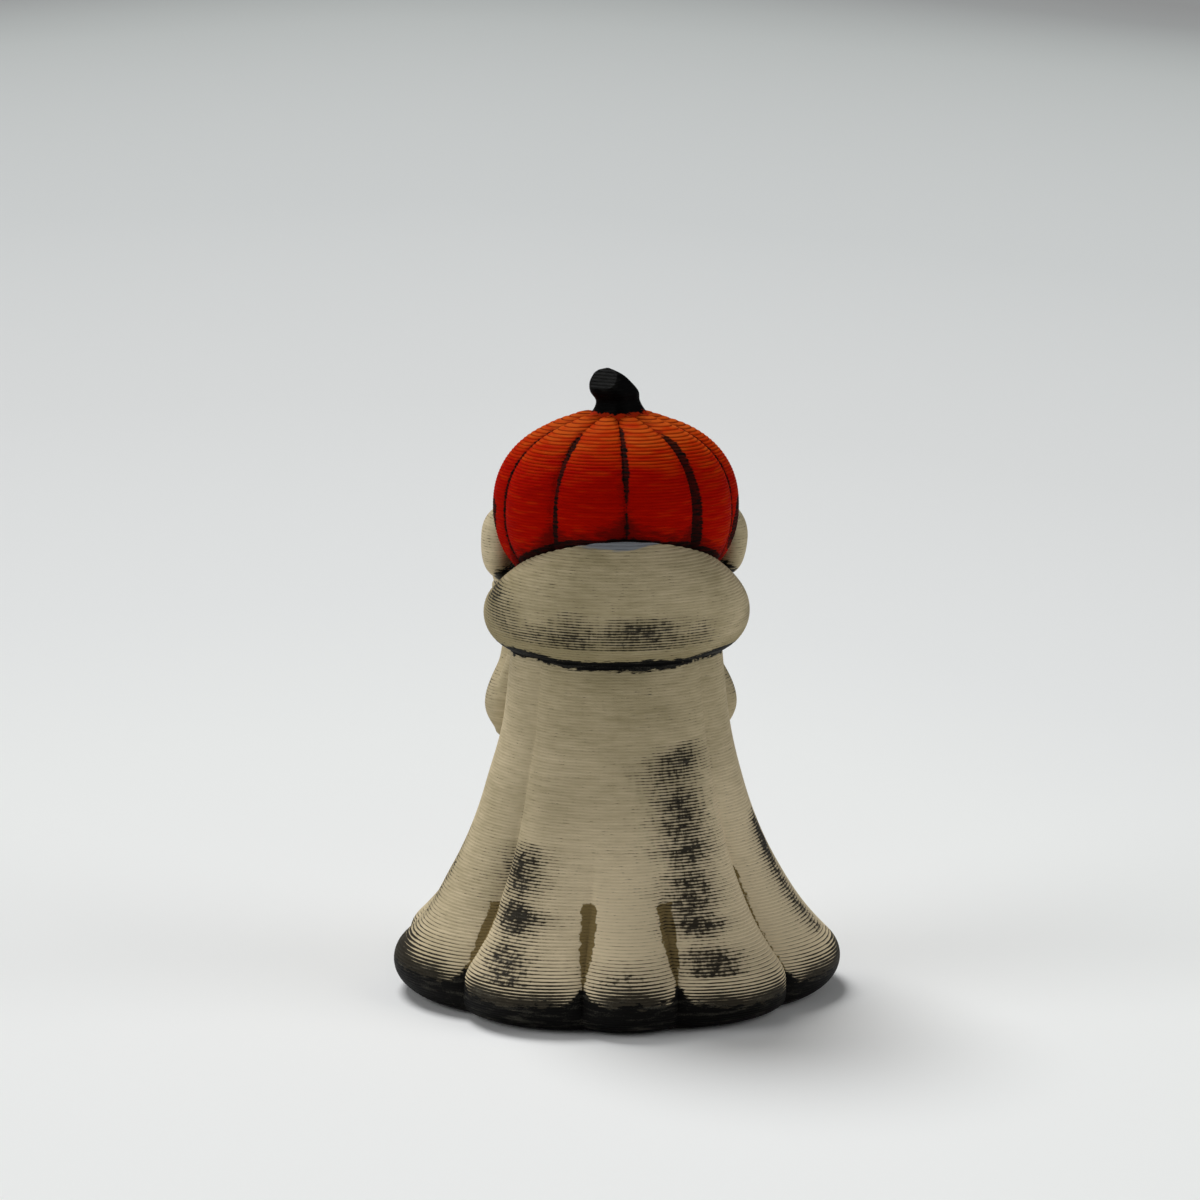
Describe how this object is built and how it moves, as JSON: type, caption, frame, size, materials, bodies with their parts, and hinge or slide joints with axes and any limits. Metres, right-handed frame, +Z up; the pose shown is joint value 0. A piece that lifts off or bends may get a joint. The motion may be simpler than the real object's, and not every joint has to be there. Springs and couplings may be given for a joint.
{
  "type": "pumpkin head figurine",
  "caption": "Small standing robed ghost figurine with a ribbed pumpkin head, a carved face, a hood pushed back round the neck, and mitten hands held to the cheeks.",
  "frame": {"origin": "middle of the base, on the floor it stands on", "axes": "+Z up through the middle of the figure; the figure faces -Y; its left hand is on +X"},
  "size_m": [0.0436, 0.044, 0.0604],
  "materials": {
    "cream_paint": "printed plastic with hand-brushed matt cream acrylic paint",
    "orange_paint": "printed plastic with hand-brushed satin orange acrylic paint",
    "black_paint": "printed plastic with hand-brushed satin black acrylic paint",
    "bare_filament": "unpainted natural printed plastic"
  },
  "bodies": {
    "root": {"robe_body": "cream_paint", "base_plate": "black_paint", "neck_dowel": "bare_filament", "hood_collar": "cream_paint", "pumpkin_head": "orange_paint", "pumpkin_stem": "black_paint", "left_sleeve": "cream_paint", "right_sleeve": "cream_paint", "left_hand": "cream_paint", "right_hand": "cream_paint", "left_elbow_pin": "bare_filament", "right_elbow_pin": "bare_filament", "left_forearm_pin": "bare_filament", "right_forearm_pin": "bare_filament"}
  },
  "joints": []
}
